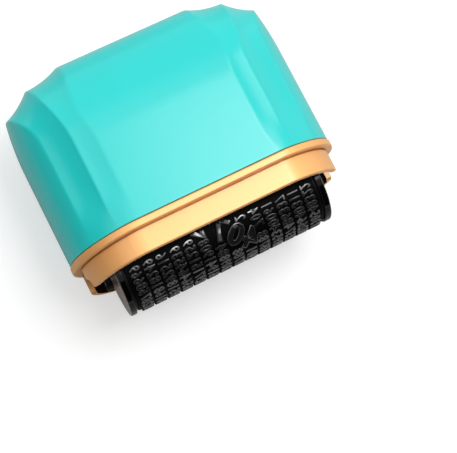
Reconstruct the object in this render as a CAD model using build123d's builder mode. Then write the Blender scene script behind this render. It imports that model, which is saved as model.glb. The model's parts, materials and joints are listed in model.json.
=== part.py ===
from build123d import *
from math import cos, degrees, radians, sin, sqrt
import os

# Privacy roller stamp, lying on its rear broad face.
# +X runs along the rollers, +Y from the die roller towards the top of the housing, and +Z out of
# the front broad face. All lengths are in millimetres, all angles in degrees.

# Plan of the trim ring, which every other outline is set in from. The arc of an end is larger than
# a half circle's by the spare, so that it meets the flat front at a slight angle, which is rounded.
ring_width = 53.8
ring_depth = 30.9
end_arc_spare = 0.55
corner_radius = 8.0

# Trim ring
collar_height = 1.4
collar_top_fillet = 0.3
collar_foot_fillet = 0.35
skirt_inset = 1.37
skirt_wall = 1.0
skirt_height = 4.4
skirt_edge_fillet = 0.3
groove_height = 0.25
groove_depth = 0.3
notch_width = 5.2
notch_front_fillet = 2.2
notch_rear_fillet = 0.5
tongue_height = 2.2
tongue_wall = 0.8
tongue_gap = 0.2

# Housing
housing_step = 0.2
housing_wall = 1.8
side_height = 19.5
end_top_radius = 57.0

# Flutes: each is the trace of a long roller of this radius, carried over the top of the housing.
# Its axis lies beyond the end arc's centre, and above the crest. At the sides it dips in by the
# depths below.
flute_radius = 16.0
inner_flute_shift = 9.55
inner_flute_rise = 14.46
outer_flute_shift = 20.8
outer_flute_rise = 9.67
flute_side_depth = 0.33
flute_foot_depth = 0.07

# Die roller
die_axis_drop = 4.87
rubber_radius = 8.0
rubber_wall = 1.1
print_columns = 14
print_column_gap = 0.4
print_side_margin = 0.45
print_relief = 0.45
shoulder_step = 0.8
shoulder_width = 0.4
die_flange_step = 0.1
die_flange_thickness = 1.3
die_flange_edge_fillet = 0.25
die_core_wall = 1.7
die_spigot_length = 4.0
die_bush_wall = 1.2
die_axle_radius = 1.0

# Ink roller
ink_radius = 6.6
ink_nip = 0.15
foam_wall = 3.0
ink_overhang = 0.2
ink_core_wall = 1.0
ink_cap_step = 1.0
ink_cap_thickness = 1.2
ink_cap_edge_fillet = 0.3
ink_spigot_length = 3.0
ink_bush_wall = 0.8
ink_axle_radius = 0.75

# Washers, and the retaining rings of the ink roller's axle
washer_wall = 1.2
die_washer_thickness = 0.5
ink_washer_thickness = 0.8
clip_thickness = 0.5
clip_wall = 1.15
clip_mouth_share = 0.7
clip_groove_depth = 0.22
clip_side_gap = 0.05
axle_tail = 0.5
axle_end_chamfer = 0.2

# Frame
frame_gap = 0.13
deck_thickness = 1.75
window_gap = 0.6
lug_thickness = 1.2
lug_side_gap = 2.08
lug_wall = 1.0
lug_root_spread = 1.4
cheek_thickness = 0.95
chamber_gap = 0.9
chamber_wall = 1.2
roof_gap = 1.72
roof_thickness = 1.4

# Screws and the bosses that take them
boss_radius = 2.6
screw_radius = 1.0
screw_length = 7.0
screw_head_radius = 1.8
screw_head_height = 1.2
screw_recess_radius = 0.8
screw_recess_depth = 0.6
boss_hole_spare = 1.5

# Fits
running_fit = 0.04
press_gap = 0.02
seat_gap = 0.05
overrun = 1.0

# Sizes and places that follow from those above. Heights are over the joint of ring and housing.
end_arc_radius = ring_depth / 2 + end_arc_spare
end_centre = ring_width / 2 - end_arc_radius
top_radius = ring_depth / 2 - housing_step
crest_height = side_height + top_radius
roller_drop = die_axis_drop + rubber_radius
joint_y = (roller_drop - crest_height) / 2
mid_z = ring_depth / 2
skirt_foot = -collar_height - skirt_height
tongue_inset = housing_step + housing_wall + tongue_gap
mouth_inset = tongue_inset + tongue_wall
deck_inset = skirt_inset + skirt_wall + frame_gap
deck_top = -collar_height - seat_gap
ink_axis_height = -die_axis_drop + rubber_radius + ink_nip + ink_radius
roof_height = ink_axis_height + ink_radius + roof_gap
cheek_half_depth = ink_radius + chamber_gap + chamber_wall
lug_radius = die_axle_radius + lug_wall
lug_root_half_width = lug_radius + lug_root_spread
die_flange_radius = rubber_radius - die_flange_step
die_core_radius = rubber_radius - rubber_wall - press_gap
die_bush_radius = die_axle_radius + running_fit + die_bush_wall
ink_core_radius = ink_radius - foam_wall - press_gap
ink_bush_radius = ink_axle_radius + running_fit + ink_bush_wall

# Stations along the rollers, from the skirt inwards
clip_groove_width = clip_thickness + 2 * clip_side_gap
lug_outer_x = ring_width / 2 - skirt_inset - skirt_wall - lug_side_gap
lug_inner_x = lug_outer_x - lug_thickness
flange_outer_x = lug_inner_x - seat_gap - die_washer_thickness
flange_inner_x = flange_outer_x - die_flange_thickness
rubber_half_length = flange_inner_x - shoulder_width
print_half_width = rubber_half_length - print_side_margin
print_column_pitch = 2 * print_half_width / print_columns
ink_half_length = rubber_half_length + ink_overhang
cap_outer_x = ink_half_length + ink_cap_thickness
cheek_outer_x = lug_inner_x + cheek_thickness
ink_groove_x = cheek_outer_x + seat_gap
ink_axle_end_x = ink_groove_x + clip_groove_width + axle_tail


def level(height):
    """Plane across the stamp at a height over the joint, facing the top of the housing."""
    return Plane(origin=(0, joint_y + height, mid_z), x_dir=(1, 0, 0), z_dir=(0, 1, 0))


def station(x, height=0):
    """Plane across the rollers at x, facing +X. Its own x is the height, its own y the depth."""
    return Plane(origin=(x, joint_y + height, mid_z), x_dir=(0, 1, 0), z_dir=(1, 0, 0))


def front_view():
    """Plane through the middle of the stamp, facing the front."""
    return Plane(origin=(0, joint_y, mid_z), x_dir=(1, 0, 0), z_dir=(0, 0, 1))


def outline(inset):
    """Plan of the stamp: flat front and rear, round ends, set in from the collar's edge."""
    half_width = ring_width / 2 - inset
    half_depth = ring_depth / 2 - inset
    corner_x = end_centre + sqrt((end_arc_radius - inset) ** 2 - half_depth**2)
    with BuildSketch(Plane.XY) as plan:
        with BuildLine():
            Line((-corner_x, half_depth), (corner_x, half_depth))
            ThreePointArc((corner_x, half_depth), (half_width, 0), (corner_x, -half_depth))
            Line((corner_x, -half_depth), (-corner_x, -half_depth))
            ThreePointArc((-corner_x, -half_depth), (-half_width, 0), (-corner_x, half_depth))
        make_face()
        fillet(plan.vertices(), corner_radius - inset)
    return plan.sketch


def flute(side, shift, rise, growth):
    """The long round tool of one flute, on the right for side 1 and on the left for side -1."""
    reach = end_arc_radius - housing_step + flute_radius - flute_side_depth
    arch_radius = sqrt(reach**2 - shift**2)
    arch_height = crest_height + rise - arch_radius
    lean = degrees((flute_side_depth - flute_foot_depth) / arch_height)
    leg = arch_height + overrun + arch_radius * sin(radians(lean))
    with BuildPart() as tool:
        with BuildLine(station(side * (end_centre + shift))) as path:
            arch = CenterArc((arch_height, 0), arch_radius, lean - 90, 180 - 2 * lean)
            PolarLine(arch @ 0, leg, 180 + lean)
            PolarLine(arch @ 1, leg, 180 - lean)
        with BuildSketch(Plane(path.wire() @ 0, z_dir=path.wire() % 0)):
            Circle(flute_radius + growth)
        sweep()
    return tool.part


def loaf(inset, foot):
    """The form of the housing, set in evenly, with its underside at the height foot."""
    half_width = ring_width / 2 - housing_step - inset
    half_depth = top_radius - inset
    end_radius = end_top_radius - inset
    crest = side_height + half_depth
    crest_x = half_width - end_radius + sqrt(end_radius**2 - half_depth**2)
    with BuildPart() as form:
        with BuildSketch(level(foot)):
            add(outline(housing_step + inset))
        extrude(amount=crest - foot)
        with BuildSketch(station(0)):
            with BuildLine():
                Line((foot, -half_depth), (side_height, -half_depth))
                ThreePointArc((side_height, -half_depth), (crest, 0), (side_height, half_depth))
                Line((side_height, half_depth), (foot, half_depth))
                Line((foot, half_depth), (foot, -half_depth))
            make_face()
        extrude(amount=ring_width, both=True, mode=Mode.INTERSECT)
        with BuildSketch(front_view()):
            with BuildLine():
                right = Line((half_width, foot), (half_width, side_height))
                Line((-half_width, foot), (-half_width, side_height))
                TangentArc((half_width, side_height), (crest_x, crest), tangent=right % 1)
                TangentArc((-half_width, side_height), (-crest_x, crest), tangent=right % 1)
                Line((-crest_x, crest), (crest_x, crest))
                Line((-half_width, foot), (half_width, foot))
            make_face()
        extrude(amount=ring_depth, both=True, mode=Mode.INTERSECT)
        for side in (-1, 1):
            add(flute(side, inner_flute_shift, inner_flute_rise, inset), mode=Mode.SUBTRACT)
            add(flute(side, outer_flute_shift, outer_flute_rise, inset), mode=Mode.SUBTRACT)
    return form.part


def retaining_ring():
    """Flat C-shaped ring for the ink axle's groove, lying on the plane that it is drawn on."""
    bore = ink_axle_radius - clip_groove_depth + seat_gap
    with BuildSketch(Plane.XY) as ring:
        Circle(bore + clip_wall)
        Circle(bore, mode=Mode.SUBTRACT)
        with Locations((-bore, 0)):
            Rectangle(2 * (bore + clip_wall), 2 * bore * clip_mouth_share, mode=Mode.SUBTRACT)
    return ring.sketch


os.makedirs("parts", exist_ok=True)


def keep(builder, label):
    builder.part.label = label
    export_step(builder.part, "parts/" + label + ".step")


# Housing: a moulded shell, open below, with two bosses under its roof for the frame's screws
with BuildPart() as housing:
    add(loaf(0, 0))
    add(loaf(housing_wall, -overrun), mode=Mode.SUBTRACT)
    boss_foot = roof_height + roof_thickness
    with BuildSketch(level(boss_foot)):
        with Locations((-end_centre, 0), (end_centre, 0)):
            Circle(boss_radius)
    extrude(amount=crest_height - housing_wall / 2 - boss_foot)
    with BuildSketch(level(boss_foot)):
        with Locations((-end_centre, 0), (end_centre, 0)):
            Circle(screw_radius + seat_gap)
    extrude(amount=screw_length - roof_thickness + boss_hole_spare, mode=Mode.SUBTRACT)
keep(housing, "housing")

# Trim ring: a collar that shows as a lip, a skirt below it, and a tongue inside the housing
with BuildPart() as trim_ring:
    with BuildSketch(level(-collar_height)):
        add(outline(0))
    extrude(amount=collar_height)
    fillet(trim_ring.faces().sort_by(Axis.Y)[-1].edges(), collar_top_fillet)
    fillet(trim_ring.faces().sort_by(Axis.Y)[0].edges(), collar_foot_fillet)
    with BuildSketch(level(skirt_foot)):
        add(outline(skirt_inset))
    extrude(amount=skirt_height)
    fillet(trim_ring.faces().sort_by(Axis.Y)[0].edges(), skirt_edge_fillet)
    with BuildSketch(level(-collar_height - groove_height)):
        add(outline(skirt_inset - groove_depth))
        add(outline(skirt_inset + groove_depth), mode=Mode.SUBTRACT)
    extrude(amount=groove_height, mode=Mode.SUBTRACT)
    with BuildSketch(level(-overrun)):
        add(outline(tongue_inset))
    extrude(amount=overrun + tongue_height)
    with BuildSketch(level(-collar_height - overrun)):
        add(outline(mouth_inset))
    extrude(amount=overrun + collar_height + tongue_height, mode=Mode.SUBTRACT)
    with BuildSketch(level(skirt_foot)):
        add(outline(skirt_inset + skirt_wall))
    extrude(amount=skirt_height, mode=Mode.SUBTRACT)
    with BuildSketch(station(0)):
        with BuildLine():
            notch_root = -collar_height
            half_notch = notch_width / 2
            front = half_notch + notch_front_fillet
            rear = -half_notch - notch_rear_fillet
            front_height = skirt_foot + notch_front_fillet
            rear_height = skirt_foot + notch_rear_fillet
            Line((notch_root, -half_notch), (notch_root, half_notch))
            Line((notch_root, half_notch), (front_height, half_notch))
            RadiusArc((front_height, half_notch), (skirt_foot, front), -notch_front_fillet)
            Line((skirt_foot, front), (skirt_foot - overrun, front))
            Line((skirt_foot - overrun, front), (skirt_foot - overrun, rear))
            Line((skirt_foot - overrun, rear), (skirt_foot, rear))
            RadiusArc((skirt_foot, rear), (rear_height, -half_notch), -notch_rear_fillet)
            Line((rear_height, -half_notch), (notch_root, -half_notch))
        make_face()
    extrude(amount=ring_width, both=True, mode=Mode.SUBTRACT)
keep(trim_ring, "trim_ring")

# Frame: a deck under the collar, lugs for the die roller's axle, and the ink roller's chamber
with BuildPart() as roller_frame:
    with BuildSketch(level(deck_top - deck_thickness)):
        add(outline(deck_inset))
    extrude(amount=deck_thickness)
    with BuildSketch(level(deck_top)):
        add(outline(mouth_inset + frame_gap))
        Rectangle(2 * cheek_outer_x, 2 * cheek_half_depth, mode=Mode.INTERSECT)
    extrude(amount=roof_height + roof_thickness - deck_top)
    with BuildSketch(level(deck_top - deck_thickness)):
        Rectangle(2 * lug_inner_x, 2 * (rubber_radius + window_gap))
    extrude(amount=deck_thickness, mode=Mode.SUBTRACT)
    with BuildSketch(level(deck_top)):
        add(outline(mouth_inset + frame_gap + chamber_wall))
        Rectangle(2 * lug_inner_x, 2 * (cheek_half_depth - chamber_wall), mode=Mode.INTERSECT)
    extrude(amount=roof_height - deck_top, mode=Mode.SUBTRACT)
    with BuildSketch(station(-lug_inner_x, -die_axis_drop)):
        Circle(rubber_radius + window_gap)
    extrude(amount=2 * lug_inner_x, mode=Mode.SUBTRACT)
    for side in (-1, 1):
        with BuildSketch(station(side * lug_inner_x, -die_axis_drop)):
            lug_root = deck_top - deck_thickness + die_axis_drop
            with BuildLine():
                Line((lug_root, -lug_root_half_width), (lug_root, lug_root_half_width))
                Line((lug_root, lug_root_half_width), (0, lug_radius))
                ThreePointArc((0, lug_radius), (-lug_radius, 0), (0, -lug_radius))
                Line((0, -lug_radius), (lug_root, -lug_root_half_width))
            make_face()
        extrude(amount=side * lug_thickness)
    with BuildSketch(station(0, -die_axis_drop)):
        Circle(die_axle_radius + press_gap)
    extrude(amount=ring_width, both=True, mode=Mode.SUBTRACT)
    with BuildSketch(station(0, ink_axis_height)):
        Circle(ink_axle_radius + press_gap)
    extrude(amount=ring_width, both=True, mode=Mode.SUBTRACT)
    with BuildSketch(level(roof_height)):
        with Locations((-end_centre, 0), (end_centre, 0)):
            Circle(screw_radius + seat_gap)
    extrude(amount=roof_thickness, mode=Mode.SUBTRACT)
keep(roller_frame, "roller_frame")

# Screws, driven up through the roof of the frame
with BuildPart() as frame_screws:
    with BuildSketch(level(roof_height - screw_head_height)):
        with Locations((-end_centre, 0), (end_centre, 0)):
            Circle(screw_head_radius)
    extrude(amount=screw_head_height)
    with BuildSketch(level(roof_height)):
        with Locations((-end_centre, 0), (end_centre, 0)):
            Circle(screw_radius)
    extrude(amount=screw_length)
    with BuildSketch(level(roof_height - screw_head_height)):
        with Locations((-end_centre, 0), (end_centre, 0)):
            RegularPolygon(screw_recess_radius, 6)
    extrude(amount=screw_recess_depth, mode=Mode.SUBTRACT)
keep(frame_screws, "frame_screws")


def axle(height, radius, end_x):
    """Steel pin across the frame, from end_x on the left to end_x on the right."""
    with BuildPart() as pin:
        with BuildSketch(station(-end_x, height)):
            Circle(radius)
        extrude(amount=2 * end_x)
        chamfer(pin.faces().filter_by(Plane.YZ).edges(), axle_end_chamfer)
    return pin.part


# Axles: the die roller's is pressed into the lugs, flush with their outer faces, and the ink
# roller's has a groove for a retaining ring outside each cheek
with BuildPart() as die_axle:
    add(axle(-die_axis_drop, die_axle_radius, lug_outer_x))
keep(die_axle, "die_axle")

with BuildPart() as ink_axle:
    add(axle(ink_axis_height, ink_axle_radius, ink_axle_end_x))
    for side in (-1, 1):
        with BuildSketch(station(side * ink_groove_x, ink_axis_height)):
            Circle(ink_axle_radius + overrun)
            Circle(ink_axle_radius - clip_groove_depth, mode=Mode.SUBTRACT)
        extrude(amount=side * clip_groove_width, mode=Mode.SUBTRACT)
keep(ink_axle, "ink_axle")

for side, hand in ((-1, "left"), (1, "right")):
    # Die roller's end: flange with a spigot in the core, its bush and its washer
    with BuildPart() as flange:
        with BuildSketch(station(side * flange_inner_x, -die_axis_drop)):
            Circle(die_flange_radius)
        extrude(amount=side * die_flange_thickness)
        fillet(flange.edges().filter_by(GeomType.CIRCLE), die_flange_edge_fillet)
        with BuildSketch(station(side * flange_inner_x, -die_axis_drop)):
            Circle(die_core_radius - die_core_wall - press_gap)
        extrude(amount=-side * die_spigot_length)
        with BuildSketch(station(side * flange_outer_x, -die_axis_drop)):
            Circle(die_bush_radius + press_gap)
        extrude(amount=-side * (die_flange_thickness + die_spigot_length), mode=Mode.SUBTRACT)
    keep(flange, "die_flange_" + hand)

    with BuildPart() as bush:
        with BuildSketch(station(side * flange_outer_x, -die_axis_drop)):
            Circle(die_bush_radius)
            Circle(die_axle_radius + running_fit, mode=Mode.SUBTRACT)
        extrude(amount=-side * (die_flange_thickness + die_spigot_length))
    keep(bush, "die_bush_" + hand)

    with BuildPart() as washer:
        with BuildSketch(station(side * (flange_outer_x + seat_gap / 2), -die_axis_drop)):
            Circle(die_axle_radius + washer_wall)
            Circle(die_axle_radius + running_fit, mode=Mode.SUBTRACT)
        extrude(amount=side * die_washer_thickness)
    keep(washer, "die_washer_" + hand)

    # Ink roller's end: cap with a spigot in the core, its bush, its washer and its clip
    with BuildPart() as cap:
        with BuildSketch(station(side * ink_half_length, ink_axis_height)):
            Circle(ink_radius - ink_cap_step)
        extrude(amount=side * ink_cap_thickness)
        fillet(cap.edges().filter_by(GeomType.CIRCLE), ink_cap_edge_fillet)
        with BuildSketch(station(side * ink_half_length, ink_axis_height)):
            Circle(ink_core_radius - ink_core_wall - press_gap)
        extrude(amount=-side * ink_spigot_length)
        with BuildSketch(station(side * cap_outer_x, ink_axis_height)):
            Circle(ink_bush_radius + press_gap)
        extrude(amount=-side * (ink_cap_thickness + ink_spigot_length), mode=Mode.SUBTRACT)
    keep(cap, "ink_cap_" + hand)

    with BuildPart() as ink_bush:
        with BuildSketch(station(side * cap_outer_x, ink_axis_height)):
            Circle(ink_bush_radius)
            Circle(ink_axle_radius + running_fit, mode=Mode.SUBTRACT)
        extrude(amount=-side * (ink_cap_thickness + ink_spigot_length))
    keep(ink_bush, "ink_bush_" + hand)

    with BuildPart() as ink_washer:
        with BuildSketch(station(side * (cap_outer_x + seat_gap / 2), ink_axis_height)):
            Circle(ink_axle_radius + washer_wall)
            Circle(ink_axle_radius + running_fit, mode=Mode.SUBTRACT)
        extrude(amount=side * ink_washer_thickness)
    keep(ink_washer, "ink_washer_" + hand)

    with BuildPart() as ink_clip:
        with BuildSketch(station(side * (ink_groove_x + clip_side_gap), ink_axis_height)):
            add(retaining_ring())
        extrude(amount=side * clip_thickness)
    keep(ink_clip, "ink_clip_" + hand)

# Die roller: a tube with a shoulder at each end, and the rubber sleeve drawn over it. The sleeve
# has a raised band for each column of its print, with a narrow gap between two columns.
with BuildPart() as die_core:
    with BuildSketch(station(-flange_inner_x, -die_axis_drop)):
        Circle(die_core_radius)
    extrude(amount=2 * flange_inner_x)
    for side in (-1, 1):
        with BuildSketch(station(side * rubber_half_length, -die_axis_drop)):
            Circle(rubber_radius - shoulder_step)
        extrude(amount=side * shoulder_width)
    with BuildSketch(station(-flange_inner_x, -die_axis_drop)):
        Circle(die_core_radius - die_core_wall)
    extrude(amount=2 * flange_inner_x, mode=Mode.SUBTRACT)
keep(die_core, "die_core")

with BuildPart() as rubber_die:
    with BuildSketch(station(-rubber_half_length, -die_axis_drop)):
        Circle(rubber_radius - print_relief)
    extrude(amount=2 * rubber_half_length)
    for column in range(print_columns):
        band_x = column * print_column_pitch - print_half_width + print_column_gap / 2
        with BuildSketch(station(band_x, -die_axis_drop)):
            Circle(rubber_radius)
        extrude(amount=print_column_pitch - print_column_gap)
    with BuildSketch(station(-rubber_half_length, -die_axis_drop)):
        Circle(rubber_radius - rubber_wall)
    extrude(amount=2 * rubber_half_length, mode=Mode.SUBTRACT)
keep(rubber_die, "rubber_die")

# Ink roller: a thin tube and the foam sleeve on it
with BuildPart() as ink_core:
    with BuildSketch(station(-ink_half_length, ink_axis_height)):
        Circle(ink_core_radius)
        Circle(ink_core_radius - ink_core_wall, mode=Mode.SUBTRACT)
    extrude(amount=2 * ink_half_length)
keep(ink_core, "ink_core")

with BuildPart() as ink_foam:
    with BuildSketch(station(-ink_half_length, ink_axis_height)):
        Circle(ink_radius)
        Circle(ink_radius - foam_wall, mode=Mode.SUBTRACT)
    extrude(amount=2 * ink_half_length)
keep(ink_foam, "ink_foam")
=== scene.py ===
import math

import bmesh
import bpy
import numpy as np
from mathutils import Matrix, Vector
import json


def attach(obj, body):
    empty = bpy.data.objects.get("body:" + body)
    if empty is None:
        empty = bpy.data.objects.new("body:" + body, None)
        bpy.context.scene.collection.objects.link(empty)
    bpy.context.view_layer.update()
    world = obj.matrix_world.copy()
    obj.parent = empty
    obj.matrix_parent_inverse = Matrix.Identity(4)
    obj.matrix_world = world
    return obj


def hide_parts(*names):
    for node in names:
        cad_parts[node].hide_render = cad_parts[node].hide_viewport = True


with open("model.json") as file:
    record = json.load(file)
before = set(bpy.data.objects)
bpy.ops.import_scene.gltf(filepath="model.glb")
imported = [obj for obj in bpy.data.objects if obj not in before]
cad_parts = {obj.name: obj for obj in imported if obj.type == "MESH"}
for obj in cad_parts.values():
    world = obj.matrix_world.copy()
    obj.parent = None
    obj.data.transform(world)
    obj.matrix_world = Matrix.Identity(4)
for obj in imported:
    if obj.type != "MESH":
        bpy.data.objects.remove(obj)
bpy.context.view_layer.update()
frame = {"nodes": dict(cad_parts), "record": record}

# Roller stamp, lying on its rear broad face. Sizes are in millimetres until a mesh is made, in the
# stamp's own terms: x along the rollers, h over the joint of ring and housing, w out to the front
# from the middle of its depth.
MM = 0.001
JOINT_Y = -10.94
MID_Z = 15.45

# Plan of the trim ring's rim: two flat broad sides, an arc at each end, and a small arc between
RING_WIDTH = 53.8
RING_DEPTH = 30.9
END_RADIUS = 16.0
END_CENTRE = RING_WIDTH / 2 - END_RADIUS
CORNER_RADIUS = 8.0
CORNER_W = RING_DEPTH / 2 - CORNER_RADIUS
CORNER_X = END_CENTRE + math.sqrt((END_RADIUS - CORNER_RADIUS) ** 2 - CORNER_W ** 2)
CORNER_ANGLE = math.atan2(CORNER_W, CORNER_X - END_CENTRE)
# A wall of the ring that faces its middle counts as an inner one where the middle lies further off than
# the first distance, and as an outer one where it lies nearer than the second. The inner walls are
# painted in a deep shade
INNER_WALL = 4.0
OUTER_WALL = 2.0

# Housing
HOUSING_STEP = 0.2
HOUSING_WALL = 1.8
FOOT_ROUND = 0.25
# The painted shade line at its foot, a dark line standing in for the shadow in the joint, is full up
# to the first height and gone at the second
JOINT_LINE = 0.15
JOINT_LINE_END = 0.25
SIDE_HEIGHT = 19.5
TOP_RADIUS = RING_DEPTH / 2 - HOUSING_STEP
CREST_HEIGHT = SIDE_HEIGHT + TOP_RADIUS
END_TOP_RADIUS = 57.0
# The roof leaves the flat sides without a break in its curve, as a superellipse
DOME_START = 16.0
DOME_POWER = 2.3
# Each flute is left by a long roller of FLUTE_RADIUS: how far out its middle runs and how far from
# the stamp's middle plane, at the sides and then over the top, and the height of its arch's centre
FLUTE_RADIUS = 16.0
FLUTES = ((7.945, 30.35, 9.55, 29.99, 19.22), (17.72, 25.70, 20.8, 23.62, 20.8))
FLUTE_TURN_H = 16.0
FLUTE_FOOT_SHARE = 0.15
FLUTE_FADE_H = 9.0
CREASE_SOFTNESS = 0.14

# Die roller
DIE_AXIS_H = -4.87
RUBBER_RADIUS = 8.0
RUBBER_HALF_LENGTH = 19.0
RELIEF = 0.45
RUBBER_WALL = 1.1
RUBBER_END_ROUND = 0.1
# The flanges' outer faces start here along the roller, and their look comes in over the edge
FACE_X = 20.55
FACE_EDGE = 0.1

# Ink roller
INK_AXIS_H = 9.88
INK_RADIUS = 6.6
INK_HALF_LENGTH = 19.2
FOAM_WALL = 3.0
FOAM_END_ROUND = 0.5
FOAM_PIT = 0.06


def row_point(x, h, w):
    """a point in metres in the frame of the part, from the stamp's own terms in millimetres"""
    return (x * MM, (JOINT_Y + h) * MM, (MID_Z + w) * MM)


def new_piece(name, verts, faces, smooth=True):
    """an object with a mesh of its own, from points in metres"""
    mesh = bpy.data.meshes.new(name)
    mesh.from_pydata([tuple(v) for v in verts], [], [tuple(f) for f in faces])
    mesh.validate()
    mesh.update()
    if smooth:
        mesh.shade_smooth()
    piece = bpy.data.objects.new(name, mesh)
    bpy.context.scene.collection.objects.link(piece)
    return piece


# Materials
def hex_colour(code):
    """linear RGBA of an sRGB hex value"""
    parts = [int(code[i:i + 2], 16) / 255 for i in (1, 3, 5)]
    return [p / 12.92 if p <= 0.04045 else ((p + 0.055) / 1.055) ** 2.4 for p in parts] + [1.0]


def add(tree, kind, values=None, links=None, into=None, **settings):
    """adds a node with its settings, the values of its sockets, the links to them and the socket that
    its result goes into, and gives the result, which is its first output in use"""
    node = tree.nodes.new(kind)
    for key, value in settings.items():
        setattr(node, key, value)
    for socket, value in (values or {}).items():
        node.inputs[socket].default_value = value
    for socket, source in (links or {}).items():
        tree.links.new(source, node.inputs[socket])
    result = next((output for output in node.outputs if output.enabled), None)
    if into:
        tree.links.new(result, into)
    return result


def new_material(name, **values):
    """a material with one principled surface, whose sockets take the values"""
    material = bpy.data.materials.new(name)
    material.use_nodes = True
    tree = material.node_tree
    tree.nodes.clear()
    surface = add(tree, "ShaderNodeBsdfPrincipled", values).node
    add(tree, "ShaderNodeOutputMaterial", links={"Surface": surface.outputs[0]})
    place = add(tree, "ShaderNodeTexCoord").node.outputs["Object"]
    return material, tree, surface.inputs, place


def per_mm(size):
    """texture scale for a pattern of this size in millimetres, on coordinates in metres"""
    return 1 / (size * MM)


def mottle(tree, surface, place, size, tints, roughness, depth):
    """the unevenness of a made surface: patches about size millimetres wide, which carry its colour
    between two tints, if any, and its roughness between two values, and stand up by depth mm"""
    patches = add(tree, "ShaderNodeTexNoise", {"Scale": per_mm(size), "Detail": 3.0}, {"Vector": place})
    least, most = roughness
    if tints:
        add(tree, "ShaderNodeMix", {6: hex_colour(tints[0]), 7: hex_colour(tints[1])}, {0: patches},
            into=surface["Base Color"], data_type="RGBA")
    add(tree, "ShaderNodeMapRange", {"From Min": 0.3, "From Max": 0.7, "To Min": least, "To Max": most},
        {"Value": patches}, into=surface["Roughness"])
    add(tree, "ShaderNodeBump", {"Distance": depth * MM}, {"Height": patches}, into=surface["Normal"])
    return patches


def from_axis(tree, place, axis_h):
    """distance along the rollers, and distance out from the axis at the height axis_h"""
    along, height, depth = add(tree, "ShaderNodeSeparateXYZ", links={0: place}).node.outputs
    height = add(tree, "ShaderNodeMath", {1: (JOINT_Y + axis_h) * MM}, {0: height}, operation="SUBTRACT")
    depth = add(tree, "ShaderNodeMath", {1: MID_Z * MM}, {0: depth}, operation="SUBTRACT")
    across = add(tree, "ShaderNodeCombineXYZ", links={0: height, 1: depth})
    radius = add(tree, "ShaderNodeVectorMath", links={0: across}, operation="LENGTH").node.outputs["Value"]
    return along, radius


def teal_abs():
    """ABS from a polished mould. It gives an even, clear gloss, and its flow in the mould leaves a
    faint cloud in the tint and a slow wave in the skin, so that no highlight looks ruled. A fine dark
    line along its foot at the joint with the ring is painted shade, standing in for the shadow in the joint."""
    material, tree, surface, place = new_material("teal_gloss_moulded_abs", IOR=1.53)
    cloud = mottle(tree, surface, place, 9.0, None, (0.2, 0.23), 0.004)
    tint = add(tree, "ShaderNodeMix", {6: hex_colour("#19CECA"), 7: hex_colour("#1FD4D0")}, {0: cloud},
               data_type="RGBA")
    # Painted shade: a dark line painted along the foot, where it meets the ring
    height = add(tree, "ShaderNodeSeparateXYZ", links={0: place}).node.outputs["Y"]
    clear_of_joint_shade = add(tree, "ShaderNodeMapRange", {"From Min": (JOINT_Y + JOINT_LINE) * MM,
                                             "From Max": (JOINT_Y + JOINT_LINE_END) * MM}, {"Value": height})
    add(tree, "ShaderNodeMix", {6: hex_colour("#4E7358")}, {0: clear_of_joint_shade, 7: tint}, into=surface["Base Color"],
        data_type="RGBA")
    return material


def gold_plating():
    """Satin plating under a clear lacquer. It gives a broad soft shine with a paler, tighter one over
    it. The grain of a real one is a few hundredths of a millimetre, drawn coarser here to show. Painted
    shade darkens it within half a millimetre of a corner or in the groove, and a deeper painted shade
    covers the walls that face into the ring."""
    material, tree, surface, place = new_material(
        "lacquered_satin_gold_plating",
        **{"Metallic": 1.0, "Coat Weight": 0.6, "Coat Roughness": 0.25, "Coat IOR": 1.7})
    grain = mottle(tree, surface, place, 0.3, None, (0.66, 0.72), 0.003)
    plating = add(tree, "ShaderNodeMix", {6: hex_colour("#F5BC74"), 7: hex_colour("#FBC480")}, {0: grain},
                  data_type="RGBA")
    # Painted shade: the gold turns dark brown where ambient occlusion finds a corner or the groove
    open_air = add(tree, "ShaderNodeAmbientOcclusion", {"Distance": 0.5 * MM}).node.outputs["AO"]
    reach = add(tree, "ShaderNodeMapRange", {"From Min": 0.25, "From Max": 0.75}, {"Value": open_air})
    hollow_shaded_gold = add(tree, "ShaderNodeMix", {6: hex_colour("#B98045")}, {0: reach, 7: plating},
                  data_type="RGBA")
    # Painted shade: a deep brown on the walls that face into the ring
    normal = add(tree, "ShaderNodeNewGeometry").node.outputs["Normal"]
    level = add(tree, "ShaderNodeVectorMath", {1: (1.0, 0.0, 1.0)}, {0: normal}, operation="MULTIPLY")
    from_middle = add(tree, "ShaderNodeVectorMath", {1: (0.0, 0.0, MID_Z * MM)}, {0: place},
                      operation="SUBTRACT")
    facing_out = add(tree, "ShaderNodeVectorMath", links={0: level, 1: from_middle},
                     operation="DOT_PRODUCT").node.outputs["Value"]
    outside = add(tree, "ShaderNodeMapRange", {"From Min": -INNER_WALL * MM, "From Max": -OUTER_WALL * MM},
                  {"Value": facing_out})
    add(tree, "ShaderNodeMix", {6: hex_colour("#3A2412")}, {0: outside, 7: hollow_shaded_gold},
        into=surface["Base Color"], data_type="RGBA")
    return material


def black_abs():
    """ABS from a spark-eroded mould. It gives a matt black, broken up by an even grain of about a
    third of a millimetre."""
    material, tree, surface, place = new_material(
        "black_spark_eroded_abs", **{"IOR": 1.53, "Specular IOR Level": 0.15})
    mottle(tree, surface, place, 0.3, ("#090909", "#0F0F0F"), (0.4, 0.55), 0.01)
    return material


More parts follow.
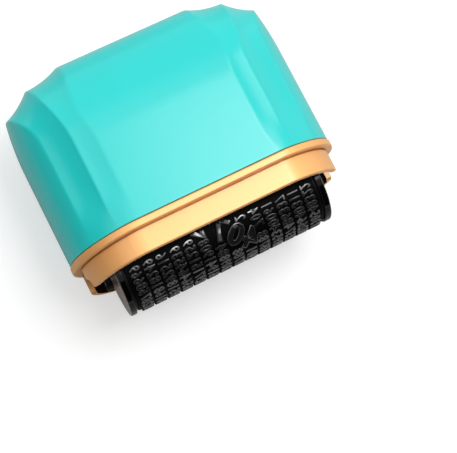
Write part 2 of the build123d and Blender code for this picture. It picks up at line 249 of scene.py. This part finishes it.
def black_acetal():
    """Turned acetal discs. The rim is polished and gives a pitch black with small hard glints. The face
    outside it is left from the tool, with rings of 0.12 mm feed under a trace of oil that mirrors
    the ground at a low angle. Its lighter brown-grey colour is painted sheen, standing in for that
    low-angle reflection."""
    material, tree, surface, place = new_material(
        "black_turned_acetal",
        **{"IOR": 1.48, "Specular IOR Level": 0.2, "Coat Roughness": 0.15, "Coat IOR": 1.5})
    along, radius = from_axis(tree, place, DIE_AXIS_H)
    far = add(tree, "ShaderNodeMath", links={0: along}, operation="ABSOLUTE")
    face = add(tree, "ShaderNodeMapRange", {"From Min": FACE_X * MM, "From Max": (FACE_X + FACE_EDGE) * MM},
               {"Value": far}, into=surface["Coat Weight"])
    spiral = add(tree, "ShaderNodeCombineXYZ", links={0: radius})
    rings = add(tree, "ShaderNodeTexNoise", {"Scale": per_mm(0.12), "Detail": 1.0}, {"Vector": spiral})
    # Painted sheen: the face's light brown-grey tints stand in for the glow of its low-angle reflection
    shade = add(tree, "ShaderNodeMix", {6: hex_colour("#75645A"), 7: hex_colour("#857368")}, {0: rings},
                data_type="RGBA")
    add(tree, "ShaderNodeMix", {6: hex_colour("#030303")}, {0: face, 7: shade}, into=surface["Base Color"],
        data_type="RGBA")
    cut = add(tree, "ShaderNodeMapRange", {"To Min": 0.2, "To Max": 0.32}, {"Value": rings})
    add(tree, "ShaderNodeMix", {2: 0.1}, {0: face, 3: cut}, into=surface["Roughness"])
    return material


def natural_acetal():
    """Undyed moulded acetal. It gives a waxy off-white that lets a little light in, with the faint
    patches of its flow, a little under a millimetre wide."""
    material, tree, surface, place = new_material(
        "natural_moulded_acetal", **{"IOR": 1.48, "Subsurface Weight": 0.1, "Subsurface Scale": 0.5 * MM})
    mottle(tree, surface, place, 0.8, ("#DCDAD0", "#E4E2DB"), (0.3, 0.42), 0.005)
    return material


def ground_steel():
    """Steel ground in the round. It gives a bright pin with fine rings across its length. The marks
    of a real wheel are about 0.01 mm wide, drawn coarser here to show."""
    material, tree, surface, place = new_material("ground_steel", Metallic=1.0)
    drawn_out = add(tree, "ShaderNodeMapping", {"Scale": (1.0, 0.05, 0.05)}, {"Vector": place})
    mottle(tree, surface, drawn_out, 0.06, ("#BDBEC2", "#CACBCE"), (0.2, 0.35), 0.001)
    return material


def die_rubber():
    """Moulded rubber with a film of wet ink on its marks. The film gives the marks a hard glint where
    they mirror a lamp, and the ground between them stays dull. That ground is also coloured darker
    than the marks' tops, as painted shade in the hollows. The skin of the mould, in patches of
    0.4 mm, breaks both up a little."""
    material, tree, surface, place = new_material(
        "black_moulded_rubber",
        **{"IOR": 1.52, "Specular IOR Level": 0.03, "Coat Roughness": 0.1, "Coat IOR": 1.7})
    mottle(tree, surface, place, 0.4, None, (0.4, 0.5), 0.003)
    radius = from_axis(tree, place, DIE_AXIS_H)[1]
    inked_and_out_of_shade = add(tree, "ShaderNodeMapRange", {"From Min": (RUBBER_RADIUS - RELIEF) * MM,
                                             "From Max": RUBBER_RADIUS * MM}, {"Value": radius},
                into=surface["Coat Weight"])
    # Painted shade: the ground between the marks is coloured darker than their tops
    add(tree, "ShaderNodeMix", {6: hex_colour("#070707"), 7: hex_colour("#141415")}, {0: inked_and_out_of_shade},
        into=surface["Base Color"], data_type="RGBA")
    return material


def ink_foam():
    """Open-cell foam full of black ink. It gives a skin of half-millimetre cells with wet walls."""
    material, tree, surface, place = new_material("open_cell_foam_soaked_with_ink")
    cells = add(tree, "ShaderNodeTexVoronoi", {"Scale": per_mm(0.5)}, {"Vector": place})
    add(tree, "ShaderNodeMix", {6: hex_colour("#08080A"), 7: hex_colour("#16161B")}, {0: cells},
        into=surface["Base Color"], data_type="RGBA")
    add(tree, "ShaderNodeMapRange", {"To Min": 0.3, "To Max": 0.6}, {"Value": cells},
        into=surface["Roughness"])
    add(tree, "ShaderNodeBump", {"Distance": 0.25 * MM}, {"Height": cells}, into=surface["Normal"])
    return material


FINISHES = {
    "housing_plastic": teal_abs(), "gold_plate": gold_plating(), "frame_plastic": black_abs(),
    "flange_plastic": black_acetal(), "bush_plastic": natural_acetal(), "steel": ground_steel(),
    "die_rubber": die_rubber(), "ink_foam": ink_foam(),
}


# Housing shell
def soft_max(a, b, softness):
    """the larger of two depths, with the edge between them rounded"""
    near = np.maximum(softness - np.abs(a - b), 0) / softness
    return np.maximum(a, b) + near ** 2 * softness / 4


def end_drop(h):
    """how far the end wall has drawn in at this height"""
    up = np.maximum(h - SIDE_HEIGHT, 0)
    return END_TOP_RADIUS - np.sqrt(END_TOP_RADIUS ** 2 - up ** 2)


def plan_distance(x, w, inset):
    """distance out of the plan outline, set in by inset"""
    ax, aw = np.abs(x), np.abs(w)
    flat = aw - (RING_DEPTH / 2 - inset)
    corner = np.hypot(ax - CORNER_X, aw - CORNER_W) - (CORNER_RADIUS - inset)
    end = np.hypot(ax - END_CENTRE, aw) - (END_RADIUS - inset)
    turn = np.arctan2(aw - CORNER_W, ax - CORNER_X)
    in_corner = (ax > CORNER_X) & (turn >= CORNER_ANGLE)
    in_end = (np.arctan2(aw, ax - END_CENTRE) < CORNER_ANGLE) & (ax > END_CENTRE)
    return np.where(in_end & ~in_corner, end, np.where(in_corner, corner, flat))


def ease(share):
    """a share from 0 to 1 that starts and ends level"""
    share = np.clip(share, 0, 1)
    return share * share * (3 - 2 * share)


def flute_depth(x, h, w, side_shift, side_arch, top_shift, top_arch, arch_h):
    """how deep a point lies in the long roller that leaves this flute"""
    aw = np.abs(w)
    over_top = ease(np.arctan2(h - FLUTE_TURN_H, aw) / (math.pi / 2))
    shift = side_shift + (top_shift - side_shift) * over_top
    arch = side_arch + (top_arch - side_arch) * over_top
    away = arch - np.where(h > arch_h, np.hypot(h - arch_h, aw), aw)
    return FLUTE_RADIUS - np.hypot(np.abs(x) - END_CENTRE - shift, away)


def housing_field(x, h, w):
    """negative inside the housing's outer form"""
    drop = end_drop(h)
    plan = plan_distance(np.maximum(np.abs(x) + drop, 0), w, HOUSING_STEP)
    up = np.maximum(h - DOME_START, 0) / (CREST_HEIGHT - DOME_START)
    out = np.abs(w) / TOP_RADIUS
    dome = ((up ** DOME_POWER + out ** DOME_POWER) ** (1 / DOME_POWER) - 1) * TOP_RADIUS
    form = np.maximum(plan, dome)
    cut = form
    for flute in FLUTES:
        cut = soft_max(cut, flute_depth(x, h, w, *flute), CREASE_SOFTNESS)
    share = FLUTE_FOOT_SHARE + (1 - FLUTE_FOOT_SHARE) * ease(h / FLUTE_FADE_H)
    return form + (cut - form) * share


FAR_OUT = 24.0
HALVINGS = 44


def housing_reach(x, h0, dh, dw):
    """how far a ray from the middle of a slice goes before it leaves the housing"""
    near = np.zeros_like(x)
    far = np.full_like(x, FAR_OUT)
    for _ in range(HALVINGS):
        middle = (near + far) / 2
        inside = housing_field(x, h0 + dh * middle, dw * middle) < 0
        near = np.where(inside, middle, near)
        far = np.where(inside, far, middle)
    return near


# The slices lie at even turns, in degrees, round each end arc and at even steps between the two. Up
# each slice come the rows of the foot, then those of the side, then a fan of rows over the roof.
END_SLICES = 130
FIRST_SLICE_TURN = 1.2
MIDDLE_SLICES = 36
FOOT_ROWS = (0.0, 0.03, 0.08, 0.15, FOOT_ROUND)
SIDE_START = 0.6
SIDE_ROWS = 44
DOME_ROWS = 64


def housing_loops():
    """points of the housing's skin: for each slice across the stamp a loop from the foot of its front
    over the top to the foot of its rear"""
    turn = np.radians(np.linspace(FIRST_SLICE_TURN, 90, END_SLICES))
    ends = END_CENTRE + (END_RADIUS - HOUSING_STEP) * np.cos(turn)
    middle = np.linspace(-END_CENTRE, END_CENTRE, MIDDLE_SLICES + 1)[1:-1]
    slices = np.concatenate([-ends, middle, ends[::-1]])
    side_h = np.concatenate([FOOT_ROWS, np.linspace(SIDE_START, SIDE_HEIGHT, SIDE_ROWS)])
    fan = np.radians(np.linspace(0, 90, DOME_ROWS + 1)[1:])
    start_h = np.concatenate([side_h, np.full(len(fan), SIDE_HEIGHT)])
    ray_h = np.concatenate([np.zeros(len(side_h)), np.sin(fan)])
    ray_w = np.concatenate([np.ones(len(side_h)), np.cos(fan)])
    x, start_h = np.meshgrid(slices, start_h, indexing="ij")
    ray_h, ray_w = np.broadcast_to(ray_h, x.shape), np.broadcast_to(ray_w, x.shape)
    reach = housing_reach(x, start_h, ray_h, ray_w)
    below = np.maximum(FOOT_ROUND - start_h, 0)
    reach -= (FOOT_ROUND - np.sqrt(FOOT_ROUND ** 2 - below ** 2)) * (start_h < FOOT_ROUND)
    front = np.stack([x, start_h + ray_h * reach, ray_w * reach], -1)
    rear = front[:, -2::-1] * [1, 1, -1]
    return np.concatenate([front, rear], 1)


def end_faces(first, around):
    """a strip of faces that closes the loop which starts at this vertex, from its front to its rear"""
    faces = []
    for j in range((around - 1) // 2):
        a, b = first + j, first + around - 1 - j
        faces.append((a, a + 1, b - 1, b) if b - 1 != a + 1 else (a, a + 1, b))
    return faces


def housing_shell():
    """the housing's skin, with softened creases between its flutes, and its wall"""
    loops = housing_loops()
    count, around = loops.shape[:2]
    verts = [row_point(*p) for p in loops.reshape(-1, 3)]
    faces = []
    for i in range(count - 1):
        for j in range(around - 1):
            a = i * around + j
            faces.append((a, a + around, a + around + 1, a + 1))
    faces += end_faces(0, around)
    faces += [face[::-1] for face in end_faces((count - 1) * around, around)]
    shell = new_piece("housing_shell", verts, faces)
    bm = bmesh.new()
    bm.from_mesh(shell.data)
    bmesh.ops.recalc_face_normals(bm, faces=bm.faces)
    bm.to_mesh(shell.data)
    bm.free()
    wall = shell.modifiers.new("wall", "SOLIDIFY")
    wall.thickness = HOUSING_WALL * MM
    wall.offset = -1
    shell.data.materials.append(FINISHES["housing_plastic"])
    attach(shell, "casing")
    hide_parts("housing")


# Print on the rubber: small digits in columns round the roller, and large ones that slant across them
COLUMNS = 14
COLUMN_PITCH = 2.65
ROWS = 39
FIRST_ROW = math.radians(-11.0)
GLYPH_HEIGHT = 2.25
GLYPH_SQUEEZE = 0.72
GLYPH_ADVANCE = 1.2
BIG_SLANT = math.radians(50)
BIG_HEIGHT = 4.6
BIG_ADVANCE = 3.3
# Each slanting number, with where it starts along the roller and round it
BIG_NUMBERS = ((4.6, -6.1, "40725"), (6.1, 18.9, "61893"))
# The marks are rooted a little in the rubber, and their tops stay a hair below its full radius
MARK_ROOT = 0.08
BOX_SPARE = 0.006
# A digit's half thickness and the round of its edges, as shares of the font's size
GLYPH_BODY_SHARE = 0.11
GLYPH_ROUND_SHARE = 0.045
GLYPH_CREASE = math.radians(40)
PRINT_SEED = 7


def glyph_meshes():
    """vertices and faces of the ten raised digits, a unit high, lying in the plane with their tops up"""
    glyphs = {}
    for digit in "0123456789":
        curve = bpy.data.curves.new("digit", "FONT")
        curve.body = digit
        curve.align_x = "CENTER"
        curve.resolution_u = 3
        curve.extrude = GLYPH_BODY_SHARE
        curve.bevel_depth = GLYPH_ROUND_SHARE
        curve.bevel_resolution = 2
        holder = bpy.data.objects.new("digit", curve)
        bpy.context.scene.collection.objects.link(holder)
        bpy.context.view_layer.update()
        mesh = bpy.data.meshes.new_from_object(holder.evaluated_get(bpy.context.evaluated_depsgraph_get()))
        points = np.array([tuple(v.co) for v in mesh.vertices])
        middle = (points.min(0) + points.max(0)) / 2
        height = np.ptp(points[:, 1])
        points = (points - middle) / [height, height, np.ptp(points[:, 2])]
        glyphs[digit] = points, [tuple(p.vertices) for p in mesh.polygons]
        bpy.data.objects.remove(holder)
        bpy.data.curves.remove(curve)
        bpy.data.meshes.remove(mesh)
    return glyphs


def round_point(x, radius, angle, axis_h):
    """a point at a distance and angle about the roller's axis at the height axis_h"""
    return row_point(x, axis_h + radius * math.sin(angle), radius * math.cos(angle))


def big_digits():
    """the large digits, with their places along the roller and round it"""
    step_x, step_arc = -math.sin(BIG_SLANT) * BIG_ADVANCE, math.cos(BIG_SLANT) * BIG_ADVANCE
    return [(start_x + k * step_x, start_arc + k * step_arc, digit)
            for start_x, start_arc, number in BIG_NUMBERS for k, digit in enumerate(number)]


def covered(along, around, digits):
    """whether a small digit at this place would lie under one of the large digits"""
    for x, arc, _ in digits:
        apart = (around - arc / RUBBER_RADIUS + math.pi) % (2 * math.pi) - math.pi
        right, up = along - x, apart * RUBBER_RADIUS
        reads = up * math.cos(BIG_SLANT) - right * math.sin(BIG_SLANT)
        stands = right * math.cos(BIG_SLANT) + up * math.sin(BIG_SLANT)
        if abs(reads) < BIG_ADVANCE / 2 and abs(stands) < BIG_HEIGHT / 2:
            return True
    return False


def raised_digit(glyph, along, around, size, slant, squeeze, first):
    """vertices and faces of a digit bent round the rubber at a place along it and an angle round it,
    with its top towards +x, for a mesh that has the first vertices already"""
    points, polygons = glyph
    lean, run = math.cos(slant), math.sin(slant)
    verts = []
    for px, py, pz in points:
        gx, gy = px * size * squeeze, py * size
        arc = around * RUBBER_RADIUS + gx * lean + gy * run
        radius = RUBBER_RADIUS - RELIEF - MARK_ROOT + (RELIEF + MARK_ROOT - BOX_SPARE) * (pz + 0.5)
        verts.append(round_point(along + gy * lean - gx * run, radius, arc / RUBBER_RADIUS, DIE_AXIS_H))
    return verts, [tuple(first + i for i in polygon) for polygon in polygons]


def turned(profile, around, axis_h, first, pits=None):
    """vertices and faces of a closed profile of places x and radii turned round a roller's axis, for a
    mesh that has the first vertices already. Pits add to the radius at each point."""
    count = len(profile)
    verts, faces = [], []
    for k in range(around):
        here, there = first + k * count, first + (k + 1) % around * count
        for j, (x, radius) in enumerate(profile):
            pit = 0.0 if pits is None else pits[k, j]
            verts.append(round_point(x, radius + pit, 2 * math.pi * k / around, axis_h))
            following = (j + 1) % count
            faces.append((here + j, here + following, there + following, there + j))
    return verts, faces


RUBBER_STEPS = 144


def print_sleeve():
    """the rubber, with its raised digits"""
    glyphs = glyph_meshes()
    big = big_digits()
    marks = []
    random = np.random.default_rng(PRINT_SEED)
    for column in range(COLUMNS):
        along = (column - (COLUMNS - 1) / 2) * COLUMN_PITCH
        digits = random.integers(0, 10, ROWS)
        for k in range(ROWS):
            around = FIRST_ROW - k * GLYPH_ADVANCE / RUBBER_RADIUS
            if not covered(along, around, big):
                marks.append((glyphs[str(digits[k])], along, around, GLYPH_HEIGHT, 0.0, GLYPH_SQUEEZE))
    for x, arc, digit in big:
        marks.append((glyphs[digit], x, arc / RUBBER_RADIUS, BIG_HEIGHT, BIG_SLANT, 1.0))
    verts, faces = [], []
    for mark in marks:
        more_verts, more_faces = raised_digit(*mark, len(verts))
        verts += more_verts
        faces += more_faces
    bore, ground = RUBBER_RADIUS - RUBBER_WALL, RUBBER_RADIUS - RELIEF
    half = [(RUBBER_HALF_LENGTH, bore), (RUBBER_HALF_LENGTH, ground - RUBBER_END_ROUND),
            (RUBBER_HALF_LENGTH - RUBBER_END_ROUND, ground)]
    profile = half + [(-x, radius) for x, radius in half[::-1]]
    more_verts, more_faces = turned(profile, RUBBER_STEPS, DIE_AXIS_H, len(verts))
    sleeve = new_piece("print_sleeve", verts + more_verts, faces + more_faces)
    sleeve.data.set_sharp_from_angle(angle=GLYPH_CREASE)
    sleeve.data.materials.append(FINISHES["die_rubber"])
    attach(sleeve, "die_roller")
    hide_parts("rubber_die")


FOAM_STEPS = 96
FOAM_ROWS = 40
PIT_SEED = 3


def foam_sleeve():
    """the ink roller's foam, with rounded ends and a pitted skin"""
    quarter = np.linspace(0, math.pi / 2, 5)
    left_end = [(-INK_HALF_LENGTH, INK_RADIUS - FOAM_WALL)]
    left_end += [(-INK_HALF_LENGTH + FOAM_END_ROUND * (1 - math.cos(turn)),
                  INK_RADIUS - FOAM_END_ROUND + FOAM_END_ROUND * math.sin(turn)) for turn in quarter]
    straight = INK_HALF_LENGTH - FOAM_END_ROUND
    profile = left_end + [(x, INK_RADIUS) for x in np.linspace(-straight, straight, FOAM_ROWS)[1:-1]]
    profile += [(-x, radius) for x, radius in left_end[::-1]]
    pits = np.random.default_rng(PIT_SEED).uniform(-FOAM_PIT, 0.0, (FOAM_STEPS, len(profile)))
    pits[:, [0, -1]] = 0
    sleeve = new_piece("ink_sleeve", *turned(profile, FOAM_STEPS, INK_AXIS_H, 0, pits))
    sleeve.data.materials.append(FINISHES["ink_foam"])
    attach(sleeve, "ink_roller")
    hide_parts("ink_foam")


for entry in frame["record"]["subparts"]:
    node = frame["nodes"][entry["node"]]
    node.data.materials.clear()
    node.data.materials.append(FINISHES[entry["material_slot"]])

housing_shell()
print_sleeve()
foam_sleeve()

# Studio
FLOOR_REACH = 3000.0
FLOOR_DROP = 0.2
PAPER_SHADE = 0.62
PAPER_LIFT = 0.5
ROOM_LIGHT = 0.7
ROOM_SEEN = 1.0

scene = bpy.context.scene
scene.view_settings.view_transform = "Standard"


def grey(shade):
    """linear RGBA of a neutral shade"""
    return (shade, shade, shade, 1)


def flat_sheet(name, corners):
    """a four-sided sheet with its corners in millimetres"""
    return new_piece(name, [Vector(corner) * MM for corner in corners], [(0, 1, 2, 3)], smooth=False)


def own_tree(owner):
    """the emptied node tree of a material, world or lamp"""
    owner.use_nodes = True
    owner.node_tree.nodes.clear()
    return owner.node_tree


def seen_as_itself(tree):
    """1 for rays from the camera, from gloss and through glass, and 0 for light on the object"""
    path = add(tree, "ShaderNodeLightPath").node.outputs
    either = add(tree, "ShaderNodeMath", links={0: path["Is Camera Ray"], 1: path["Is Glossy Ray"]},
                 operation="MAXIMUM")
    return add(tree, "ShaderNodeMath", links={0: either, 1: path["Is Transmission Ray"]}, operation="MAXIMUM")


def white_floor():
    """A sheet of white paper. It keeps the stamp's shadow, and where it is seen a lift makes it white."""
    ways = ((-1, -1), (1, -1), (1, 1), (-1, 1))
    floor = flat_sheet("floor", [(x * FLOOR_REACH, y * FLOOR_REACH, -FLOOR_DROP) for x, y in ways])
    paper = bpy.data.materials.new("white_paper")
    tree = own_tree(paper)
    matt = add(tree, "ShaderNodeBsdfDiffuse", {"Color": grey(PAPER_SHADE)})
    lift = add(tree, "ShaderNodeMath", {1: PAPER_LIFT}, {0: seen_as_itself(tree)}, operation="MULTIPLY")
    glow = add(tree, "ShaderNodeEmission", links={"Strength": lift})
    both = add(tree, "ShaderNodeAddShader", links={0: matt, 1: glow})
    add(tree, "ShaderNodeOutputMaterial", links={"Surface": both})
    floor.data.materials.append(paper)


def white_room():
    """A white room, at a lower level for the light that it throws on the object."""
    scene.world = bpy.data.worlds.new("white_room")
    tree = own_tree(scene.world)
    level = add(tree, "ShaderNodeMapRange", {"To Min": ROOM_LIGHT, "To Max": ROOM_SEEN},
                {"Value": seen_as_itself(tree)})
    sky = add(tree, "ShaderNodeBackground", {"Color": grey(1)}, {"Strength": level})
    add(tree, "ShaderNodeOutputWorld", links={"Surface": sky})


def soft_box(name, place, width, depth, radiance, edge):
    """a rectangular lamp that points straight down, as bright as radiance where it is seen in gloss,
    and fading over its edge's share of each side"""
    lamp = bpy.data.lights.new(name, "AREA")
    lamp.shape = "RECTANGLE"
    lamp.size = width * MM
    lamp.size_y = depth * MM
    lamp.energy = radiance * math.pi * lamp.size * lamp.size_y
    tree = own_tree(lamp)
    share = add(tree, "ShaderNodeNewGeometry").node.outputs["Parametric"]
    across = add(tree, "ShaderNodeSeparateXYZ", links={0: share}).node.outputs
    fades = []
    for axis in (0, 1):
        inward = add(tree, "ShaderNodeMath", {1: 0.5}, {0: across[axis]}, operation="SUBTRACT")
        inward = add(tree, "ShaderNodeMath", links={0: inward}, operation="ABSOLUTE")
        fades.append(add(tree, "ShaderNodeMapRange", {"From Min": 0.5, "From Max": 0.5 - edge},
                         {"Value": inward}, interpolation_type="SMOOTHSTEP"))
    level = add(tree, "ShaderNodeMath", links={0: fades[0], 1: fades[1]}, operation="MULTIPLY")
    glow = add(tree, "ShaderNodeEmission", links={"Strength": level})
    add(tree, "ShaderNodeOutputLight", links={"Surface": glow})
    holder = bpy.data.objects.new(name, lamp)
    holder.location = Vector(place) * MM
    scene.collection.objects.link(holder)


def studio_card(name, corners, shade, gloss_only=False):
    """a card outside the picture, which deepens what looks at it in the gloss. A card for the gloss
    alone leaves the light on the floor and the stamp as it is."""
    card = flat_sheet(name, corners)
    card.visible_camera = False
    card.visible_diffuse = card.visible_shadow = card.visible_transmission = not gloss_only
    felt = bpy.data.materials.new(name + "_felt")
    tree = own_tree(felt)
    cloth = add(tree, "ShaderNodeBsdfDiffuse", {"Color": grey(shade)})
    add(tree, "ShaderNodeOutputMaterial", links={"Surface": cloth})
    card.data.materials.append(felt)


white_floor()
white_room()
# Each lamp with its place, width, depth, radiance and edge
soft_box("window_box", (130, 16, 420), 195, 236, 4.7, 0.16)
soft_box("window_core", (200, -5, 415), 170, 230, 5.2, 0.4)
soft_box("key_box", (130, 90, 420), 440, 420, 0.6, 0.25)
soft_box("side_box", (275, 95, 415), 150, 170, 2.2, 0.2)
soft_box("fill_box", (-70, 85, 410), 170, 170, 0.9, 0.3)
soft_box("left_box", (-260, 80, 400), 330, 300, 0.5, 0.35)
soft_box("strip_box", (95, -80, 415), 150, 60, 10.0, 0.2)
studio_card("left_card", [(-88, -80, 0), (-88, 100, 0), (-88, 100, 70), (-88, -80, 70)], 0.28)
studio_card("ground_card", [(-200, -120, -0.1), (200, -120, -0.1), (200, 400, -0.1), (-200, 400, -0.1)],
            0.56, gloss_only=True)
studio_card("lower_card", [(-300, -340, 0), (450, -340, 0), (450, -340, 600), (-300, -340, 600)], 0.03)

# Camera, from a fit of the photograph's outline: its place, and the axes of its picture
camera = bpy.data.cameras.new("camera")
camera.sensor_fit = "HORIZONTAL"
camera.sensor_width = 36
camera.lens = 101.67
camera.clip_start = 0.01
camera.clip_end = 20
viewer = bpy.data.objects.new("camera", camera)
right, up, back = (0.8865, -0.4544, 0.0877), (0.4295, 0.8784, 0.2095), (-0.1722, -0.1481, 0.9739)
turn = Matrix((right, up, back)).transposed()
viewer.matrix_world = Matrix.Translation(Vector((-38.46, -52.09, 248.38)) * MM) @ turn.to_4x4()
scene.collection.objects.link(viewer)
scene.camera = viewer
